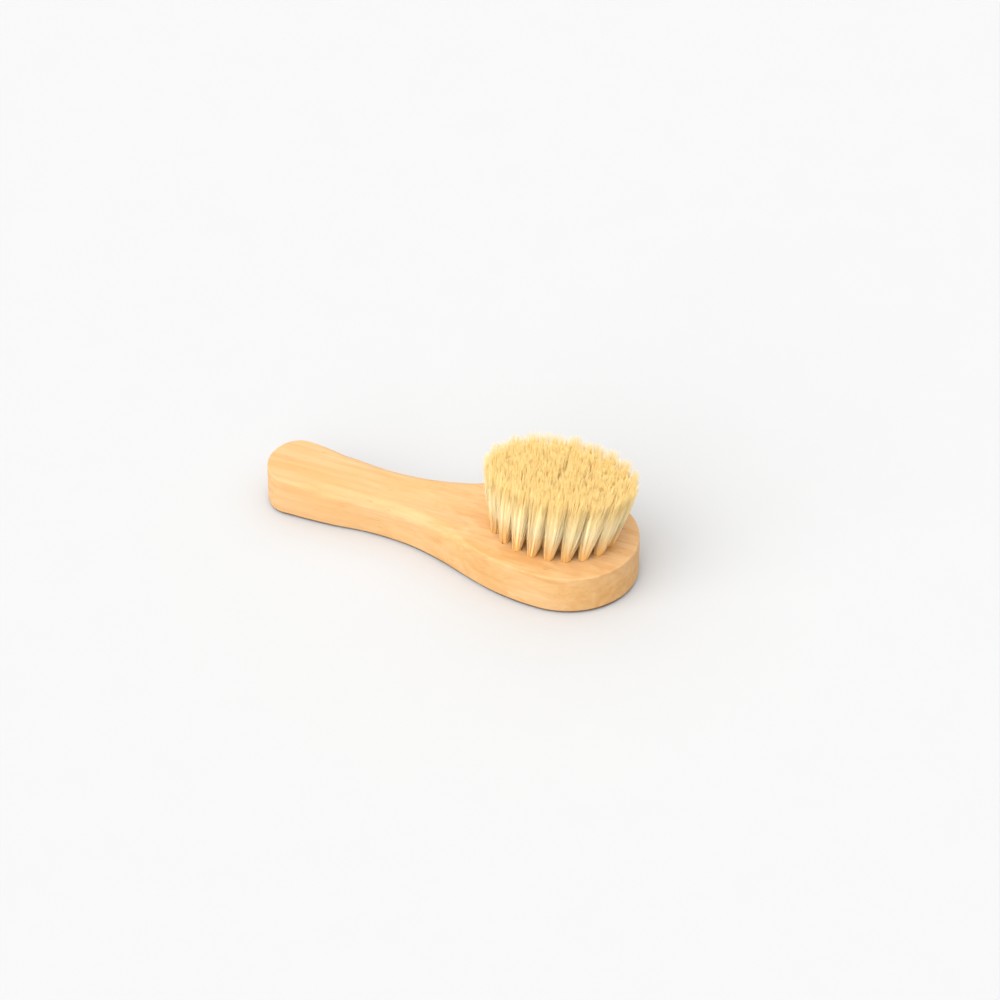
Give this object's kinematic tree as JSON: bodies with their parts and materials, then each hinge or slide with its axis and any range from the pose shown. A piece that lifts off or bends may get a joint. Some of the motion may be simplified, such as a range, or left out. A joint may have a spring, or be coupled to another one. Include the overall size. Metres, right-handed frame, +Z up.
{
  "type": "bee brush",
  "caption": "Small flat wooden bee brush: a one-piece paddle handle and oval head, its face filled with rings of pale natural bristle tufts.",
  "frame": {"origin": "middle of the flat underside of the wooden handle, on the surface the brush lies on", "axes": "+X runs from the handle to the head, +Z points up out of the bristles, +Y to the left of someone looking from the handle to the head"},
  "size_m": [0.14, 0.0496, 0.045],
  "materials": {
    "wood": "satin",
    "bristle": "matte",
    "anchor_metal": "satin"
  },
  "bodies": {
    "root": {"wooden_handle": "wood", "tuft_outer_01": "bristle", "tuft_outer_02": "bristle", "tuft_outer_03": "bristle", "tuft_outer_04": "bristle", "tuft_outer_05": "bristle", "tuft_outer_06": "bristle", "tuft_outer_07": "bristle", "tuft_outer_08": "bristle", "tuft_outer_09": "bristle", "tuft_outer_10": "bristle", "tuft_outer_11": "bristle", "tuft_outer_12": "bristle", "tuft_outer_13": "bristle", "tuft_outer_14": "bristle", "tuft_outer_15": "bristle", "tuft_outer_16": "bristle", "tuft_outer_17": "bristle", "tuft_outer_18": "bristle", "tuft_outer_19": "bristle", "tuft_middle_01": "bristle", "tuft_middle_02": "bristle", "tuft_middle_03": "bristle", "tuft_middle_04": "bristle", "tuft_middle_05": "bristle", "tuft_middle_06": "bristle", "tuft_middle_07": "bristle", "tuft_middle_08": "bristle", "tuft_middle_09": "bristle", "tuft_middle_10": "bristle", "tuft_middle_11": "bristle", "tuft_middle_12": "bristle", "tuft_middle_13": "bristle", "tuft_inner_01": "bristle", "tuft_inner_02": "bristle", "tuft_inner_03": "bristle", "tuft_inner_04": "bristle", "tuft_inner_05": "bristle", "tuft_inner_06": "bristle", "anchor_outer_01": "anchor_metal", "anchor_outer_02": "anchor_metal", "anchor_outer_03": "anchor_metal", "anchor_outer_04": "anchor_metal", "anchor_outer_05": "anchor_metal", "anchor_outer_06": "anchor_metal", "anchor_outer_07": "anchor_metal", "anchor_outer_08": "anchor_metal", "anchor_outer_09": "anchor_metal", "anchor_outer_10": "anchor_metal", "anchor_outer_11": "anchor_metal", "anchor_outer_12": "anchor_metal", "anchor_outer_13": "anchor_metal", "anchor_outer_14": "anchor_metal", "anchor_outer_15": "anchor_metal", "anchor_outer_16": "anchor_metal", "anchor_outer_17": "anchor_metal", "anchor_outer_18": "anchor_metal", "anchor_outer_19": "anchor_metal"}
  },
  "joints": []
}
